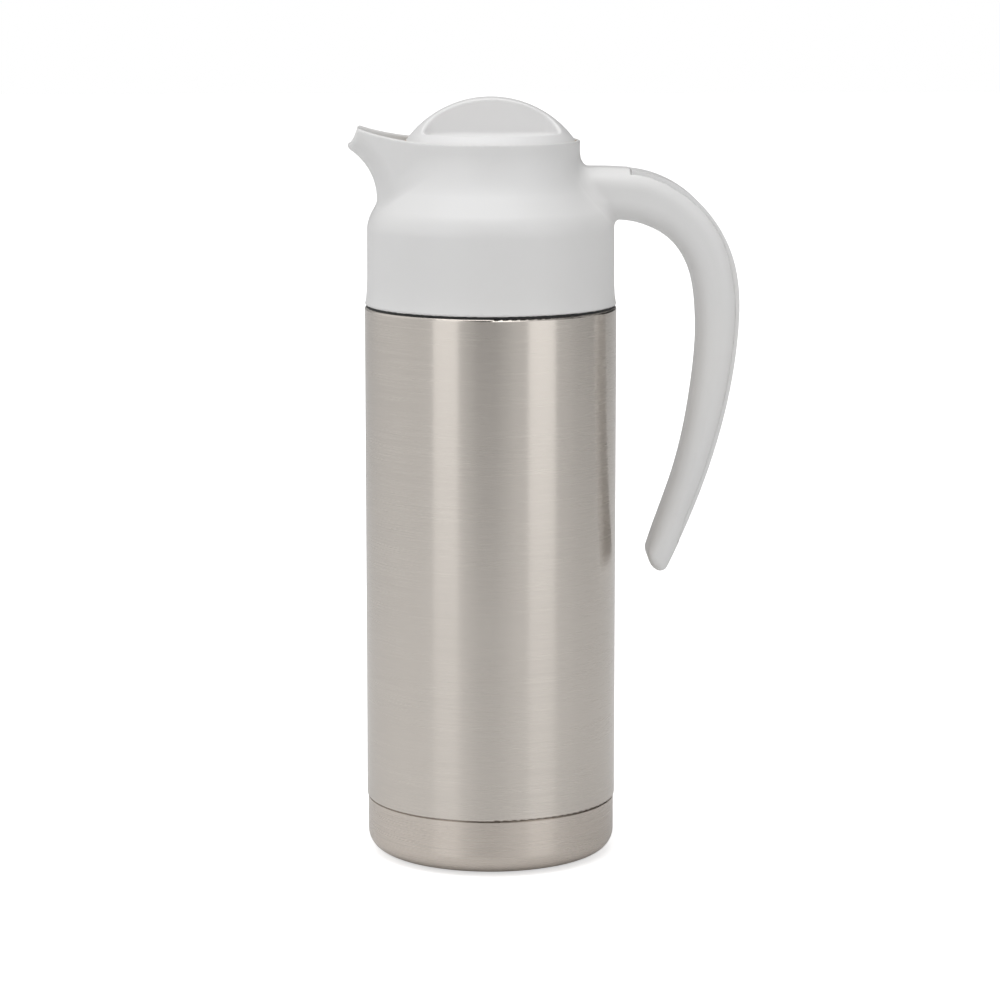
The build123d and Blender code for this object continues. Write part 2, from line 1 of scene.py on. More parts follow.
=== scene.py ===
import math
from functools import reduce
import bpy
import numpy as np
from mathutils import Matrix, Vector


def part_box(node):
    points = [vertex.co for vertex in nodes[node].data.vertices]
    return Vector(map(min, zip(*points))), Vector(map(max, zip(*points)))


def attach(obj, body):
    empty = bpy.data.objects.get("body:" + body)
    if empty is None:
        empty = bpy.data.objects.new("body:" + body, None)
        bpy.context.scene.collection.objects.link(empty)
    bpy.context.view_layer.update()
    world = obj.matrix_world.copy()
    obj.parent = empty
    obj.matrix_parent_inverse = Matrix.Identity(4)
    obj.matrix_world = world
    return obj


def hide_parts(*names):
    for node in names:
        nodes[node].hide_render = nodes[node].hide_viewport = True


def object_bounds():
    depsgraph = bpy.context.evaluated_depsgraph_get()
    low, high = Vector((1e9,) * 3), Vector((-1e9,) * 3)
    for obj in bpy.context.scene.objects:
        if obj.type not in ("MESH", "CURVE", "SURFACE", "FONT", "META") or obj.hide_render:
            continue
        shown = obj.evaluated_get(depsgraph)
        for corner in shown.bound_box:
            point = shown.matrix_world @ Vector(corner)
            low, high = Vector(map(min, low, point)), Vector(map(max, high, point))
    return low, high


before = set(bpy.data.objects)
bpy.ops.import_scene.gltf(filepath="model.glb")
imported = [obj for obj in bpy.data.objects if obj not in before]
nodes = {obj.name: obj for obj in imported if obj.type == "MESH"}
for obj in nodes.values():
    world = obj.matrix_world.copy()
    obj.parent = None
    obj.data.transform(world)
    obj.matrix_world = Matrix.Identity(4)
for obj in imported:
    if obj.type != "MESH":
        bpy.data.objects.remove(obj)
cadLow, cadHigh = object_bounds()
mm = 0.001


class Socket:
    # wraps an output socket, so that maths on it adds nodes: kind is value, vector or colour
    def __init__(self, shader, source, kind):
        self.shader = shader
        self.source = source
        self.kind = kind

    def out(self, output):
        # another output of the same node
        return Socket(self.shader, self.source.node.outputs[output], "value")

    def math(self, operation, *others):
        nodeType = "ShaderNodeVectorMath" if self.kind == "vector" else "ShaderNodeMath"
        values = dict(enumerate((self, *others)))
        return self.shader.node(nodeType, {"operation": operation}, values, kind=self.kind)

    def __add__(self, other):
        return self.math("ADD", other)

    def __mul__(self, other):
        return self.math("MULTIPLY", other)

    __radd__ = __add__
    __rmul__ = __mul__


class Shader:
    # the nodes of one material, or of the world, with one call for every node
    def __init__(self, owner, surface="Principled BSDF"):
        owner.use_nodes = True
        self.owner = owner
        self.tree = owner.node_tree
        self.surface = self.tree.nodes[surface]

    def feed(self, target, value):
        if isinstance(value, Socket):
            self.tree.links.new(value.source, target)
        else:
            target.default_value = value

    def node(self, nodeType, settings=None, values=None, output=0, kind="value"):
        made = self.tree.nodes.new(nodeType)
        for key, value in (settings or {}).items():
            if key == "stops":
                self.rampStops(made.color_ramp, value)
            else:
                setattr(made, key, value)
        for key, value in (values or {}).items():
            self.feed(made.inputs[key], value)
        return Socket(self, made.outputs[output], kind)

    def rampStops(self, ramp, stops):
        ramp.interpolation = "EASE"
        for index, (place, colour) in enumerate(stops):
            stop = ramp.elements[index] if index < 2 else ramp.elements.new(place)
            stop.position = place
            stop.color = colour

    def set(self, **values):
        for key, value in values.items():
            self.feed(self.surface.inputs[key.replace("_", " ")], value)

    def place(self, output="Object"):
        return self.node("ShaderNodeTexCoord", output=output, kind="vector")

    def length(self, vector):
        return self.node("ShaderNodeVectorMath", {"operation": "LENGTH"}, {0: vector}, output="Value")

    def noise(self, vector, scale, detail=3.0, roughness=0.5, distortion=0.0):
        return self.node("ShaderNodeTexNoise", {"noise_dimensions": "3D"},
                         {"Vector": vector, "Scale": scale, "Detail": detail,
                          "Roughness": roughness, "Distortion": distortion})

    def spread(self, value, within, onto=(0, 1), easing="LINEAR"):
        # carries one range of values onto another, clamped at its ends
        return self.node("ShaderNodeMapRange", {"interpolation_type": easing},
                         {"Value": value, "From Min": within[0], "From Max": within[1],
                          "To Min": onto[0], "To Max": onto[1]})

    def mix(self, factor, first, second):
        return self.node("ShaderNodeMix", {"data_type": "RGBA"}, {0: factor, 6: first, 7: second},
                         output=2, kind="colour")

    def bump(self, height, strength, distance):
        return self.node("ShaderNodeBump", {},
                         {"Height": height, "Strength": strength, "Distance": distance}, kind="vector")


def newMaterial(name):
    return Shader(bpy.data.materials.new(name))


def grey(level):
    return (level, level, level, 1.0)


def tint(colour, *factors):
    # one factor for all three channels, or one for each
    each = factors * 3 if len(factors) == 1 else factors
    return tuple(min(1.0, c * f) for c, f in zip(colour, each)) + (1.0,)


def around(level, less, more):
    return level - less, level + more


plasticLook = {
    "white": (0.80, 0.795, 0.79, 1.0),
    "lid": (0.82, 0.815, 0.815, 1.0),
    "stopper": (0.78, 0.78, 0.77, 1.0),
    "inner": (0.62, 0.62, 0.60, 1.0),
    "roughness": 0.36, "lidRoughness": 0.32, "stopperRoughness": 0.42, "innerRoughness": 0.5,
    "warm": (1.0, 0.996, 0.985), "cool": (0.975, 0.98, 0.985),
    "flowScale": 9.0, "dustScale": 260.0, "grainScale": 1500.0,
    "grainStrength": 0.35, "grainDepth": 0.00003,
    "specular": 0.42, "ior": 1.49,
}


def mouldedPlastic(name, colour, roughness):
    s = newMaterial(name)
    spot = s.place()
    flow = s.noise(spot, plasticLook["flowScale"], 2.0, 0.45, 0.3)
    grain = s.noise(spot, plasticLook["grainScale"], 2.0, 0.6)
    dust = s.noise(spot, plasticLook["dustScale"], 4.0, 0.6)
    warmer, cooler = tint(colour, *plasticLook["warm"]), tint(colour, *plasticLook["cool"])
    s.set(Base_Color=s.mix(s.spread(flow, (0.35, 0.65)), warmer, cooler),
          Roughness=s.spread(dust, (0.3, 0.7), around(roughness, 0.03, 0.04)),
          Normal=s.bump(grain, plasticLook["grainStrength"], plasticLook["grainDepth"]))
    s.set(Specular_IOR_Level=plasticLook["specular"], IOR=plasticLook["ior"])
    return s.owner


steelLook = {
    "body": (0.675, 0.628, 0.578, 1.0),
    "base": (0.66, 0.60, 0.545, 1.0),
    "roughness": 0.24, "baseRoughness": 0.27,
    "anisotropy": 0.9, "grainTurn": 0.25,
    "lineScale": 6500.0, "bandScale": 1100.0,    # brushing lines and broader bands per metre of height
    "bodyRun": 24.0, "baseRun": 18.0,            # how fast a line changes along its length
    "bandRun": 0.4,                              # and a band, against a line
    "cloudScale": 14.0,
    "lineStrength": 0.5, "lineDepth": 0.000006,
    "dark": 0.955, "light": 1.035,
}


def brushedSteel(name, colour, roughness, run):
    s = newMaterial(name)
    spot = s.place()
    bandRun = run * steelLook["bandRun"]
    lines = s.noise(spot * (run, run, steelLook["lineScale"]), 1.0, 3.0, 0.65)
    bands = s.noise(spot * (bandRun, bandRun, steelLook["bandScale"]), 1.0, 3.0, 0.6)
    cloud = s.noise(spot, steelLook["cloudScale"], 3.0, 0.55)
    streak = lines * 0.8 + bands * 0.2
    dark, light = tint(colour, steelLook["dark"]), tint(colour, steelLook["light"])
    s.set(Base_Color=s.mix(s.spread(streak, (0.36, 0.64)), dark, light),
          Roughness=s.spread(streak + cloud * 0.25, (0.45, 0.8), around(roughness, 0.05, 0.06)),
          Normal=s.bump(lines, steelLook["lineStrength"], steelLook["lineDepth"]))
    s.set(Metallic=1.0, Anisotropic=steelLook["anisotropy"], Anisotropic_Rotation=steelLook["grainTurn"])
    return s.owner


turnedLook = {
    "inner": (0.66, 0.65, 0.64, 1.0), "innerRoughness": 0.22,
    "seal": (0.42, 0.42, 0.43, 1.0), "sealRoughness": 0.45,
    "cloudScale": 60.0,
    "toolMarks": (40.0, 40.0, 2600.0),           # fine rings left by turning
    "markStrength": 0.3, "markDepth": 0.000004,
    "dark": 0.94,
}


def polishedSteel(name, colour, roughness):
    s = newMaterial(name)
    spot = s.place()
    cloud = s.noise(spot, turnedLook["cloudScale"], 4.0, 0.6)
    marks = s.noise(spot * turnedLook["toolMarks"], 1.0, 2.0, 0.5)
    s.set(Base_Color=s.mix(s.spread(cloud, (0.35, 0.7)), tint(colour, turnedLook["dark"]), colour),
          Roughness=s.spread(cloud, (0.3, 0.7), (roughness * 0.8, roughness * 1.25)),
          Normal=s.bump(marks, turnedLook["markStrength"], turnedLook["markDepth"]))
    s.set(Metallic=1.0)
    return s.owner


rubberLook = {
    # the gasket's near-black colour is painted shade: the ring in the collar seam stands in for the shadow
    # in the seam's gap
    "gasket": (0.018, 0.018, 0.018, 1.0), "gasketRoughness": 0.6,
    "silicone": (0.62, 0.61, 0.57, 1.0), "siliconeRoughness": 0.4,
    "tan": (0.42, 0.27, 0.11, 1.0), "tanRoughness": 0.45,
    "grainScale": 900.0, "cloudScale": 40.0,
    "grainStrength": 0.4, "grainDepth": 0.00004,
    "light": 1.18, "specular": 0.35,
}


def softRubber(name, colour, roughness):
    s = newMaterial(name)
    spot = s.place()
    grain = s.noise(spot, rubberLook["grainScale"], 3.0, 0.6)
    cloud = s.noise(spot, rubberLook["cloudScale"], 3.0, 0.5)
    s.set(Base_Color=s.mix(s.spread(cloud, (0.35, 0.65)), colour, tint(colour, rubberLook["light"])),
          Roughness=s.spread(grain, (0.3, 0.7), around(roughness, 0.06, 0.06)),
          Normal=s.bump(grain, rubberLook["grainStrength"], rubberLook["grainDepth"]))
    s.set(Specular_IOR_Level=rubberLook["specular"])
    return s.owner


padLook = {
    "rubber": (0.035, 0.035, 0.035, 1.0),
    "ringStep": 0.003,                           # from one moulded ring to the next
    "grainScale": 1100.0,
    "ringStrength": 0.6, "ringDepth": 0.0003,
    "light": 1.3,
}


def ringedRubber(name, colour):
    # the pad's moulded rings, with a fine grain
    s = newMaterial(name)
    spot = s.place()
    reach = s.length(spot * (1.0, 1.0, 0.0))
    rings = (reach * (2 * math.pi / padLook["ringStep"])).math("SINE")
    grain = s.noise(spot, padLook["grainScale"], 3.0, 0.6)
    light = tint(colour, padLook["light"])
    s.set(Base_Color=s.mix(s.spread(rings + grain * 0.6, (-0.4, 1.2)), colour, light),
          Roughness=s.spread(grain, (0.3, 0.7), (0.6, 0.75)),
          Normal=s.bump(rings * 0.5 + grain * 0.2, padLook["ringStrength"], padLook["ringDepth"]))
    return s.owner


foilLook = {
    "dark": (0.62, 0.33, 0.2, 1), "light": (0.83, 0.5, 0.34, 1),
    "foldScale": 130.0,
    "foldStrength": 0.6, "foldDepth": 0.0003,
}


def hammeredFoil(name):
    s = newMaterial(name)
    folds = s.noise(s.place(), foilLook["foldScale"], 5.0, 0.65, 0.6)
    s.set(Base_Color=s.mix(s.spread(folds, (0.3, 0.7)), foilLook["dark"], foilLook["light"]),
          Roughness=s.spread(folds, (0.3, 0.7), (0.18, 0.34)),
          Normal=s.bump(folds, foilLook["foldStrength"], foilLook["foldDepth"]))
    s.set(Metallic=1.0)
    return s.owner


foamLook = {
    "dark": (0.62, 0.57, 0.42, 1), "light": (0.85, 0.81, 0.66, 1),
    "cellScale": 900.0,
    "cellStrength": 0.6, "cellDepth": 0.0003,
    "roughness": 0.9,
}


def rigidFoam(name):
    s = newMaterial(name)
    cells = s.node("ShaderNodeTexVoronoi", {}, {"Vector": s.place(), "Scale": foamLook["cellScale"]})
    s.set(Base_Color=s.mix(s.spread(cells, (0.1, 0.7)), foamLook["dark"], foamLook["light"]),
          Roughness=foamLook["roughness"],
          Normal=s.bump(cells, foamLook["cellStrength"], foamLook["cellDepth"]))
    return s.owner


print("materials")
white = mouldedPlastic("white_plastic", plasticLook["white"], plasticLook["roughness"])
lidWhite = mouldedPlastic("lid_plastic", plasticLook["lid"], plasticLook["lidRoughness"])
stopperWhite = mouldedPlastic("stopper_plastic", plasticLook["stopper"], plasticLook["stopperRoughness"])
plainPlastic = mouldedPlastic("inner_plastic", plasticLook["inner"], plasticLook["innerRoughness"])
bodySteel = brushedSteel("body_steel", steelLook["body"], steelLook["roughness"], steelLook["bodyRun"])
baseSteel = brushedSteel("base_steel", steelLook["base"], steelLook["baseRoughness"], steelLook["baseRun"])
innerSteel = polishedSteel("inner_steel", turnedLook["inner"], turnedLook["innerRoughness"])
sealMetal = polishedSteel("seal_metal", turnedLook["seal"], turnedLook["sealRoughness"])
# the ring in the collar seam is coloured near-black as painted shade of the seam's gap
gapShadeGasket = softRubber("dark_gasket", rubberLook["gasket"], rubberLook["gasketRoughness"])
padRubber = ringedRubber("pad_rubber", padLook["rubber"])
silicone = softRubber("silicone", rubberLook["silicone"], rubberLook["siliconeRoughness"])
tanSilicone = softRubber("tan_silicone", rubberLook["tan"], rubberLook["tanRoughness"])
copperFoil = hammeredFoil("copper_foil")
foam = rigidFoam("foam")

nodeLooks = {
    "base_pad": padRubber, "base_cup": baseSteel, "base_spacer": plainPlastic,
    "outer_shell": bodySteel, "outer_bottom": innerSteel,
    "vacuum_seal_plug": sealMetal, "getter": sealMetal,
    "inner_flask": innerSteel, "inner_bottom": innerSteel, "radiation_foil": copperFoil,
    "collar_gasket": gapShadeGasket, "neck_gasket": silicone,
    "handle_cover": white, "shoulder_lock_ring": plainPlastic,
    "stopper_body": stopperWhite, "stopper_insulation": foam, "stopper_gasket": silicone,
    "rim_seal": tanSilicone, "lid_cap": lidWhite,
}
for nodeName, look in nodeLooks.items():
    piece = nodes[nodeName]
    piece.data.materials.clear()
    piece.data.materials.append(look)

# the shoulder's skirt, cone, neck, beak and handle are one blended moulding, in millimetres:
# a field is negative inside its shape and grows with the distance outside it
shoulderLow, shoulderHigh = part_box("shoulder")
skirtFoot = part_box("collar_gasket")[1].z / mm
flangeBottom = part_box("neck_gasket")[1].z / mm
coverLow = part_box("handle_cover")[0]

shoulderForm = {
    "voxel": 0.62, "quickCoarser": 1.5, "margin": 2.0,
    "rim": 269.4, "rimRound": 0.55,
    "sweepFrom": -24.0, "sweepSlope": 0.0436, "sweepCurve": 0.00587,    # the rim's rise to the beak's lip
    "skirtRadius": 46.05, "skirtFlare": 0.95, "flareFade": 3.4,
    "coneFoot": (46.0, 240.5), "coneHead": (33.2, 257.5),
    "coneFootRound": 2.6, "coneHeadRound": 5.0,
    "boreRadius": 32.0, "wall": 2.2,
    "flangeRadius": 29.2, "flangeThick": 2.0,
    "ledgeRadius": 29.8, "ledgeBottom": 262.4, "ledgeTop": 264.4,
    "ledgeSweep": 22.0, "sweepRun": 0.5,         # half its sweep in degrees, and millimetres per degree
    "ledgeRoot": 0.4, "ledgeBlend": 0.3,
}
beakForm = {
    "rootHalf": 21.2, "rootX": -26.0, "frontHalf": 12.4, "frontX": -50.6,
    "hollowCentre": (-63.4, 248.0), "hollowRadius": 21.2,    # the arc of the keel under the beak
    "frontCentre": 22.3, "leanFrom": 266.6, "lean": 0.21, "leanWithin": (-1, 10),
    "bottom": 241.0, "innerX": -12.0,
    "keelRound": 7.5, "frontRound": 1.2, "lipRound": 0.8,
    "wall": 2.0, "flankWall": 1.05,              # the flanks' wall against the keel's
    "troughX": -20.0, "troughBlend": 1.5,
    "neckBlend": 4.2, "keelBlend": 1.2, "tightBelow": 246.0, "loosening": 12.0,
}
handleForm = {
    "outer": [(28.0, 259.3), (46.0, 259.3), (60.0, 257.5), (76.2, 248.1), (87.3, 234.0), (92.6, 211.0),
              (90.2, 180.0), (82.7, 149.6), (74.4, 127.0), (64.6, 106.6)],
    "grip": [(57.6, 111.3), (61.5, 124.4), (69.2, 147.3), (74.1, 170.2), (76.8, 200.0), (73.8, 221.5),
             (66.0, 233.0), (54.3, 238.9), (40.0, 240.2), (28.0, 240.6)],
    "curveSteps": 9,
    "halfWidth": 12.0, "lipRound": 1.4, "gripRound": 7.5,
    "endRound": 4.6, "tipRound": 3.4, "endInset": 0.2,
    "tipTop": 112.0, "tipFade": 16.0, "tipSoftness": 0.45,   # the grip's rounding tightens towards the tip
    "rootX": 30.0, "rootBlend": 3.6,
    "channelHalf": 9.45, "channelDepth": 2.9, "channelGap": 0.1,
}
settleMoves = {"rounds": 2, "probe": 0.05, "longest": 0.3, "flattest": 0.25}


def smoothCurve(points, steps):
    # Catmull-Rom through the points, with the end tangents carried on straight
    pts = [np.array(p, float) for p in points]
    pts = [2 * pts[0] - pts[1]] + pts + [2 * pts[-1] - pts[-2]]
    out = []
    for stretch in zip(pts, pts[1:], pts[2:], pts[3:]):
        knots = [0.0]
        for p, q in zip(stretch, stretch[1:]):
            knots.append(knots[-1] + np.linalg.norm(q - p) ** 0.5)
        for k in range(steps):
            t = knots[1] + (knots[2] - knots[1]) * k / steps
            layer = stretch
            for order in (1, 2, 3):
                spans = [(knots[i], knots[i + order]) for i in range(4 - order)]
                if order == 3:
                    spans = [(knots[1], knots[2])]
                layer = [((high - t) * a + (t - low) * b) / (high - low)
                         for (low, high), a, b in zip(spans, layer, layer[1:])]
            out.append(layer[0])
    out.append(pts[-2])
    return np.array(out)


def curveDistance(curve, x, z):
    # signed distance to an open curve, positive on its left
    best = np.full(np.broadcast(x, z).shape, 1e9, np.float32)
    signed = np.zeros_like(best)
    for (ax, az), (bx, bz) in zip(curve[:-1], curve[1:] - curve[:-1]):
        px, pz = x - ax, z - az
        t = np.clip((px * bx + pz * bz) / (bx * bx + bz * bz), 0, 1)
        gap = np.hypot(px - t * bx, pz - t * bz)
        left = bx * pz - bz * px > 0
        nearer = gap < best
        best = np.where(nearer, gap, best)
        signed = np.where(nearer, np.where(left, gap, -gap), signed)
    return signed


def overlap(*fields):
    # intersection with sharp edges
    return reduce(np.maximum, fields)


def joinRound(a, b, radius):
    # union with a rounded valley
    corner = np.hypot(np.maximum(radius - a, 0), np.maximum(radius - b, 0))
    return np.maximum(radius, np.minimum(a, b)) - corner


def cutRound(a, b, radius):
    # intersection with a rounded edge
    return -joinRound(-a, -b, radius)


outerCurve = smoothCurve(handleForm["outer"], handleForm["curveSteps"])
gripCurve = smoothCurve(handleForm["grip"], handleForm["curveSteps"])


def handleSection(x, z):
    return curveDistance(outerCurve, x, z), curveDistance(gripCurve, x, z)


def rimTop(x):
    # the rim is level round the neck and sweeps up to the beak's lip
    form = shoulderForm
    out = np.clip(form["sweepFrom"] - x, 0, None)
    return form["rim"] + form["sweepSlope"] * out + form["sweepCurve"] * out**2


def turnedField(z, r):
    # skirt and cone, as turned
    form = shoulderForm
    above = np.maximum(z - skirtFoot, 0)
    skirt = r - form["skirtRadius"] - form["skirtFlare"] * np.exp(-above / form["flareFade"])
    (footR, footZ), (headR, headZ) = form["coneFoot"], form["coneHead"]
    length = math.hypot(headR - footR, headZ - footZ)
    cone = ((r - footR) * (headZ - footZ) + (z - footZ) * (footR - headR)) / length
    turned = cutRound(skirt, cone, form["coneFootRound"])
    return joinRound(turned, r - headR, form["coneHeadRound"])


def beakFields(x, y, z):
    # the beak's solid, and the trough that it pours from
    form = beakForm
    taper = (form["rootHalf"] - form["frontHalf"]) / (form["rootX"] - form["frontX"])
    side = (np.abs(y) - form["rootHalf"] - taper * (x - form["rootX"])) / math.hypot(1, taper)
    centreX, centreZ = form["hollowCentre"]
    fromHollow = np.hypot(x - centreX, z - centreZ)
    lean = np.clip(z - form["leanFrom"], *form["leanWithin"]) * form["lean"]
    front = np.hypot(x + form["frontCentre"] - lean, y) - (-shoulderLow.x / mm - form["frontCentre"])
    solid = cutRound(side, form["hollowRadius"] - fromHollow, form["keelRound"])
    solid = cutRound(solid, front, form["frontRound"])
    solid = overlap(solid, form["bottom"] - z, x - form["innerX"])
    trough = cutRound(side + form["wall"] * form["flankWall"],
                      form["hollowRadius"] + form["wall"] - fromHollow, form["keelRound"] - form["wall"])
    trough = overlap(trough, flangeBottom + shoulderForm["flangeThick"] - z, x - form["troughX"])
    return solid, trough


def handleFields(x, y, z, section):
    # the handle's solid, and the channel that the cover strip closes
    form = handleForm
    outer, inner = section
    flank = np.abs(y) - form["halfWidth"]
    (ax, az), (bx, bz) = form["grip"][0], form["outer"][-1]
    end = ((x - ax) * (bz - az) - (z - az) * (bx - ax)) / math.hypot(bx - ax, bz - az)
    end = end + form["endInset"]
    tip = cutRound(cutRound(inner, end, form["endRound"]), outer, form["tipRound"])
    near = np.clip((z - form["tipTop"]) / form["tipFade"], 0, 1)
    lowest = tip * (1 - near) + np.maximum(inner, outer) * near
    softness = form["tipSoftness"] + (1 - form["tipSoftness"]) * near
    solid = overlap(cutRound(outer, flank, form["lipRound"]),
                    cutRound(lowest, flank, form["gripRound"] * softness), form["rootX"] - x)
    channel = overlap(np.abs(y) - form["channelHalf"], -outer - form["channelDepth"],
                      coverLow.x / mm - form["channelGap"] - x, coverLow.z / mm - form["channelGap"] - z)
    return solid, channel


def shoulderField(x, y, z, section):
    form, beak = shoulderForm, beakForm
    r = np.hypot(x, y)
    turned = turnedField(z, r)
    beakSolid, trough = beakFields(x, y, z)
    handle, channel = handleFields(x, y, z, section)
    rise = np.clip((z - beak["tightBelow"]) / beak["loosening"], 0, 1)
    blend = beak["keelBlend"] + (beak["neckBlend"] - beak["keelBlend"]) * rise**2 * (3 - 2 * rise)
    solid = joinRound(turned, beakSolid, blend)
    solid = np.maximum(solid, skirtFoot - z)
    solid = joinRound(solid, handle, handleForm["rootBlend"])
    solid = np.maximum(solid, -channel)
    # the bore runs into the trough, and the hollow under the flange takes the flask's neck
    bore = np.maximum(r - form["boreRadius"], flangeBottom + form["flangeThick"] - z)
    solid = cutRound(solid, -joinRound(trough, bore, beak["troughBlend"]), beak["lipRound"])
    solid = cutRound(solid, z - rimTop(x), form["rimRound"])
    hollow = np.maximum(turned + form["wall"], z - flangeBottom)
    solid = overlap(solid, -hollow, form["flangeRadius"] - r)
    # two ledges that the stopper's lugs turn under
    angle = np.degrees(np.arctan2(np.abs(y), x))
    ledge = overlap(form["ledgeRadius"] - r, r - form["boreRadius"] - form["ledgeRoot"],
                    form["ledgeBottom"] - z, z - form["ledgeTop"],
                    (np.abs(angle - 90.0) - form["ledgeSweep"]) * form["sweepRun"])
    return joinRound(solid, ledge, form["ledgeBlend"])


def crossings(value, where, corners):
    # the middle of the points where the surface crosses each cell's edges
    total = np.zeros((len(where), 3), np.float32)
    hits = np.zeros((len(where), 1), np.float32)
    for a in corners:
        for axis in range(3):
            if a[axis]:
                continue
            b = tuple(1 if n == axis else v for n, v in enumerate(a))
            va = value[tuple((where + a).T)]
            vb = value[tuple((where + b).T)]
            crossed = (va < 0) != (vb < 0)
            spot = np.tile(np.array(a, np.float32), (len(where), 1))
            spot[:, axis] += np.where(crossed, va / np.where(crossed, va - vb, 1), 0)
            total += spot * crossed[:, None]
            hits += crossed[:, None]
    return total / hits


def edgeQuads(inside, index, axis):
    # one quad round each crossed edge along an axis
    u, v = [n for n in range(3) if n != axis]
    first, second = [slice(1, -1)] * 3, [slice(1, -1)] * 3
    first[axis], second[axis] = slice(0, -1), slice(1, None)
    a, b = inside[tuple(first)], inside[tuple(second)]
    spots = np.argwhere(a != b)
    rising = a[tuple(spots.T)]
    ring = []
    for du, dv in ((0, 0), (1, 0), (1, 1), (0, 1)):
        cell = spots.copy()
        cell[:, u] += du
        cell[:, v] += dv
        ring.append(index[tuple(cell.T)])
    ring = np.stack(ring, 1)
    outward = rising if axis != 1 else ~rising
    ring[~outward] = ring[~outward][:, ::-1]
    return ring


def surfaceNet(field, low, high, step):
    # one vertex in each crossed cell, one quad round each crossed edge
    axes = [np.arange(a, b + step, step, dtype=np.float32) for a, b in zip(low, high)]
    x, y, z = axes[0][:, None, None], axes[1][None, :, None], axes[2][None, None, :]
    section = [s[:, None, :] for s in handleSection(x[:, 0, :], z[0])]
    value = field(x, y, z, section).astype(np.float32)
    inside = value < 0
    nx, ny, nz = [n - 1 for n in value.shape]
    corners = [(i, j, k) for i in (0, 1) for j in (0, 1) for k in (0, 1)]
    count = sum(inside[i:i + nx, j:j + ny, k:k + nz].astype(np.int8) for i, j, k in corners)
    active = (count > 0) & (count < 8)
    where = np.argwhere(active)
    index = np.full(active.shape, -1, np.int32)
    index[active] = np.arange(len(where))
    start = np.array([a[0] for a in axes], np.float32)
    points = start + (where + crossings(value, where, corners)) * step
    return points, np.concatenate([edgeQuads(inside, index, axis) for axis in range(3)])


def settle(field, points):
    # slides the vertices onto the exact surface
    for _ in range(settleMoves["rounds"]):
        value = field(*points.T, handleSection(points[:, 0], points[:, 2]))
        slope = np.zeros_like(points)
        for axis in range(3):
            ahead, behind = points.copy(), points.copy()
            ahead[:, axis] += settleMoves["probe"]
            behind[:, axis] -= settleMoves["probe"]
            gain = (field(*ahead.T, handleSection(ahead[:, 0], ahead[:, 2]))
                    - field(*behind.T, handleSection(behind[:, 0], behind[:, 2])))
            slope[:, axis] = gain / (2 * settleMoves["probe"])
        steepness = np.maximum((slope**2).sum(1), settleMoves["flattest"])
        move = slope * (value / steepness)[:, None]
        reach = np.linalg.norm(move, axis=1, keepdims=True)
        points = points - move * np.minimum(1, settleMoves["longest"] / np.maximum(reach, 1e-6))
    return points


def newPiece(name, mesh, material):
    mesh.materials.append(material)
    piece = bpy.data.objects.new(name, mesh)
    bpy.context.scene.collection.objects.link(piece)
    return piece


def meshPiece(name, points, faces, material, body):
    mesh = bpy.data.meshes.new(name)
    mesh.from_pydata(points.tolist(), [], faces.tolist())
    mesh.polygons.foreach_set("use_smooth", [True] * len(mesh.polygons))
    mesh.validate()
    mesh.update()
    piece = newPiece(name, mesh, material)
    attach(piece, body)
    return piece


print("shoulder")
step = shoulderForm["voxel"] * 1.0
fieldLow = [edge / mm - shoulderForm["margin"] for edge in shoulderLow]
fieldHigh = [edge / mm + shoulderForm["margin"] for edge in shoulderHigh]
points, quads = surfaceNet(shoulderField, fieldLow, fieldHigh, step)
points = settle(shoulderField, points)
shoulder = meshPiece("shoulder_moulding", points * mm, quads, white, "jug")
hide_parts("shoulder")
print("shoulder faces", len(quads))

floorLook = {
    "colour": (0.80, 0.80, 0.80, 1.0), "cloud": 0.78,
    "cloudScale": 3.0,
    "roughness": 0.85, "specular": 0.1,
    "clear": 0.10, "white": 0.42,       # reach of the painted contact shadow round the carafe, and where the floor turns plain white
    "nearShadowGlow": 0.62, "glow": 0.85,     # added to the floor as seen, near the carafe and far away; the lower glow near the carafe paints a soft contact shadow
    "bounce": 0.02,                     # and as it lights the carafe
    "half": 6.0, "drop": 0.0002,
}


def paleFloor():
    look = floorLook
    s = newMaterial("floor_paper")
    spot = s.place()
    cloud = s.noise(spot, look["cloudScale"], 3.0, 0.5)
    # painted contact shadow: the floor as seen glows less near the carafe and turns plain white further out
    far = s.spread(s.length(spot), (look["clear"], look["white"]), easing="SMOOTHSTEP")
    seen = s.node("ShaderNodeLightPath", output="Is Camera Ray")
    shown = s.mix(far, grey(look["nearShadowGlow"]), grey(look["glow"]))
    s.set(Base_Color=s.mix(s.spread(cloud, (0.3, 0.7)), look["colour"], grey(look["cloud"])),
          Roughness=look["roughness"],
          Emission_Color=s.mix(seen, grey(look["bounce"]), shown))
    s.set(Specular_IOR_Level=look["specular"], Emission_Strength=1.0)
    half, level = look["half"], cadLow.z - look["drop"]
    corners = [(-half, -half, level), (half, -half, level), (half, half, level), (-half, half, level)]
    mesh = bpy.data.meshes.new("floor")
    mesh.from_pydata(corners, [], [(0, 1, 2, 3)])
    floor = newPiece("floor", mesh, s.owner)


lightAim = Vector((0, 0, 0.15))
lights = {
    "left_box": {"azimuth": -42, "elevation": 8, "distance": 1.3,
                 "width": 0.55, "height": 1.6, "power": 1.6},
    "right_box": {"azimuth": 46, "elevation": 8, "distance": 1.3,
                  "width": 0.62, "height": 1.6, "power": 2.1},
    "top_box": {"azimuth": -20, "elevation": 74, "distance": 1.2,
                "width": 1.3, "height": 0.8, "power": 4.6},
    "rear_box": {"azimuth": 172, "elevation": 12, "distance": 1.8,
                 "width": 1.0, "height": 1.5, "power": 0.2},
}


def aimAt(thing, target):
    thing.rotation_euler = (target - thing.location).to_track_quat("-Z", "Y").to_euler()


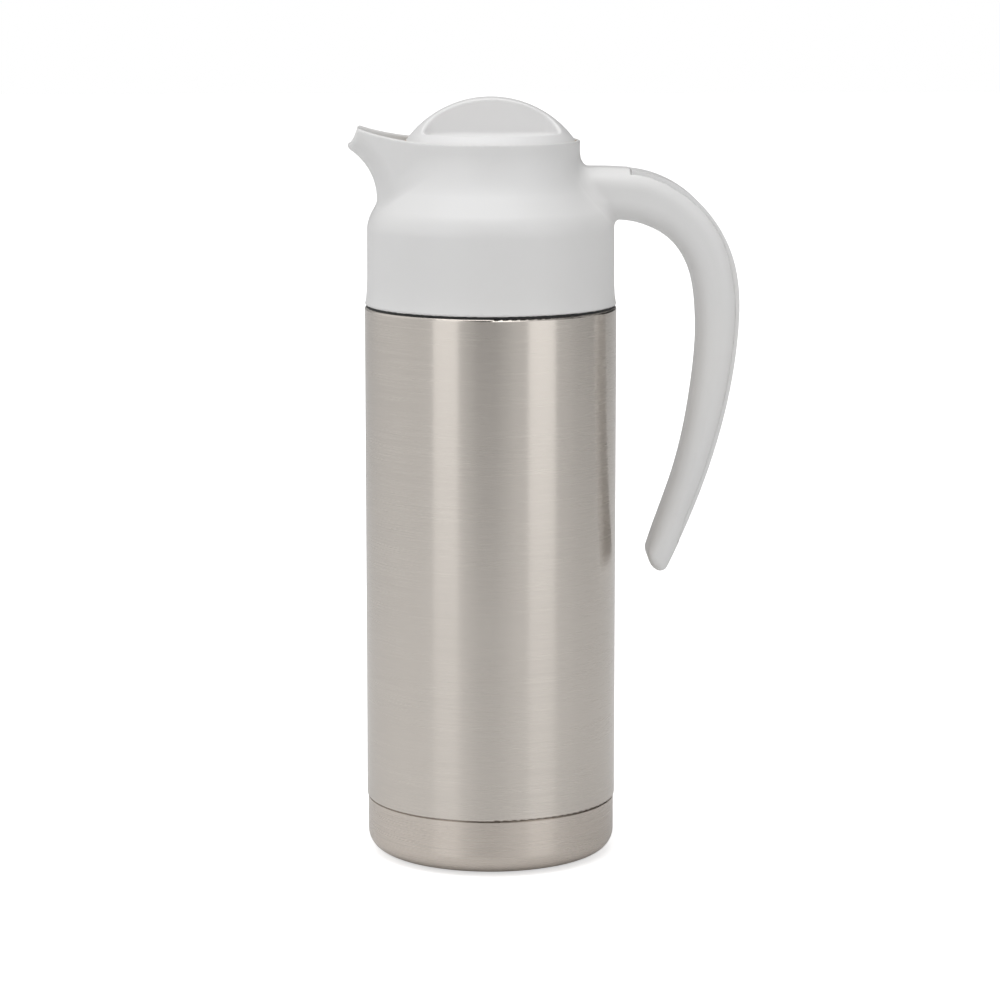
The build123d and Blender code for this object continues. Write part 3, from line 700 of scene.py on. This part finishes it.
def softBox(name, azimuth, elevation, distance, width, height, power):
    a, e = math.radians(azimuth), math.radians(elevation)
    light = bpy.data.lights.new(name, "AREA")
    light.shape = "RECTANGLE"
    light.size, light.size_y = width, height
    light.energy = power
    lamp = bpy.data.objects.new(name, light)
    heading = Vector((math.sin(a) * math.cos(e), -math.cos(a) * math.cos(e), math.sin(e)))
    lamp.location = lightAim + distance * heading
    aimAt(lamp, lightAim)
    bpy.context.scene.collection.objects.link(lamp)


# brightness of the studio's walls by compass angle in degrees: 0 is behind the camera, more is to its right
wallLevels = [(-180, 0.30), (-150, 0.46), (-122, 1.0), (-100, 1.0), (-72, 0.84), (-48, 0.80), (-32, 0.80),
              (-20, 0.36), (-12, 0.0), (3, 0.0), (11, 0.26), (24, 0.66), (48, 0.80), (70, 0.58), (90, 0.24),
              (108, 0.08), (130, 0.02), (155, 0.02), (180, 0.30)]
worldLook = {
    "background": 1.0,                  # as seen, and not as it lights the carafe
    "walls": 0.86, "overhead": 0.98,    # the room's light at eye level, and straight above
    "ceilingFrom": 0.5,                 # the height of a ray where the ceiling starts
}


def studioWorld():
    world = bpy.data.worlds.new("studio")
    s = Shader(world, "Background")
    x = s.node("ShaderNodeSeparateXYZ", {}, {0: s.place("Generated")}, output="X")
    y, z = x.out("Y"), x.out("Z")
    turn = x.math("ARCTAN2", y * -1.0) * (0.5 / math.pi) + 0.5
    stops = [((compass + 180) / 360, grey(level * worldLook["walls"])) for compass, level in wallLevels]
    walls = s.node("ShaderNodeValToRGB", {"stops": stops}, {0: turn}, kind="colour")
    lift = s.spread(z, (worldLook["ceilingFrom"], 1.0), easing="SMOOTHSTEP")
    room = s.mix(lift, walls, grey(worldLook["overhead"]))
    seen = s.node("ShaderNodeLightPath", output="Is Camera Ray")
    s.set(Color=s.mix(seen, room, grey(worldLook["background"])))
    bpy.context.scene.world = world


cameraPlace = {
    "location": (-0.0254, -1.2972, 0.3479), "aim": (0.0035, 0.0, 0.1415),
    "lens": 125.6, "sensor": 36.0, "shift": -0.02,
    "farthest": 50.0,
}


def addCamera():
    data = bpy.data.cameras.new("camera")
    data.lens = cameraPlace["lens"]
    data.sensor_width = cameraPlace["sensor"]
    data.shift_y = cameraPlace["shift"]
    data.clip_end = cameraPlace["farthest"]
    camera = bpy.data.objects.new("camera", data)
    bpy.context.scene.collection.objects.link(camera)
    camera.location = cameraPlace["location"]
    aimAt(camera, Vector(cameraPlace["aim"]))
    bpy.context.scene.camera = camera


print("stage")
paleFloor()
for lightName, light in lights.items():
    softBox(lightName, **light)
studioWorld()
addCamera()
bpy.context.scene.view_settings.view_transform = "Standard"
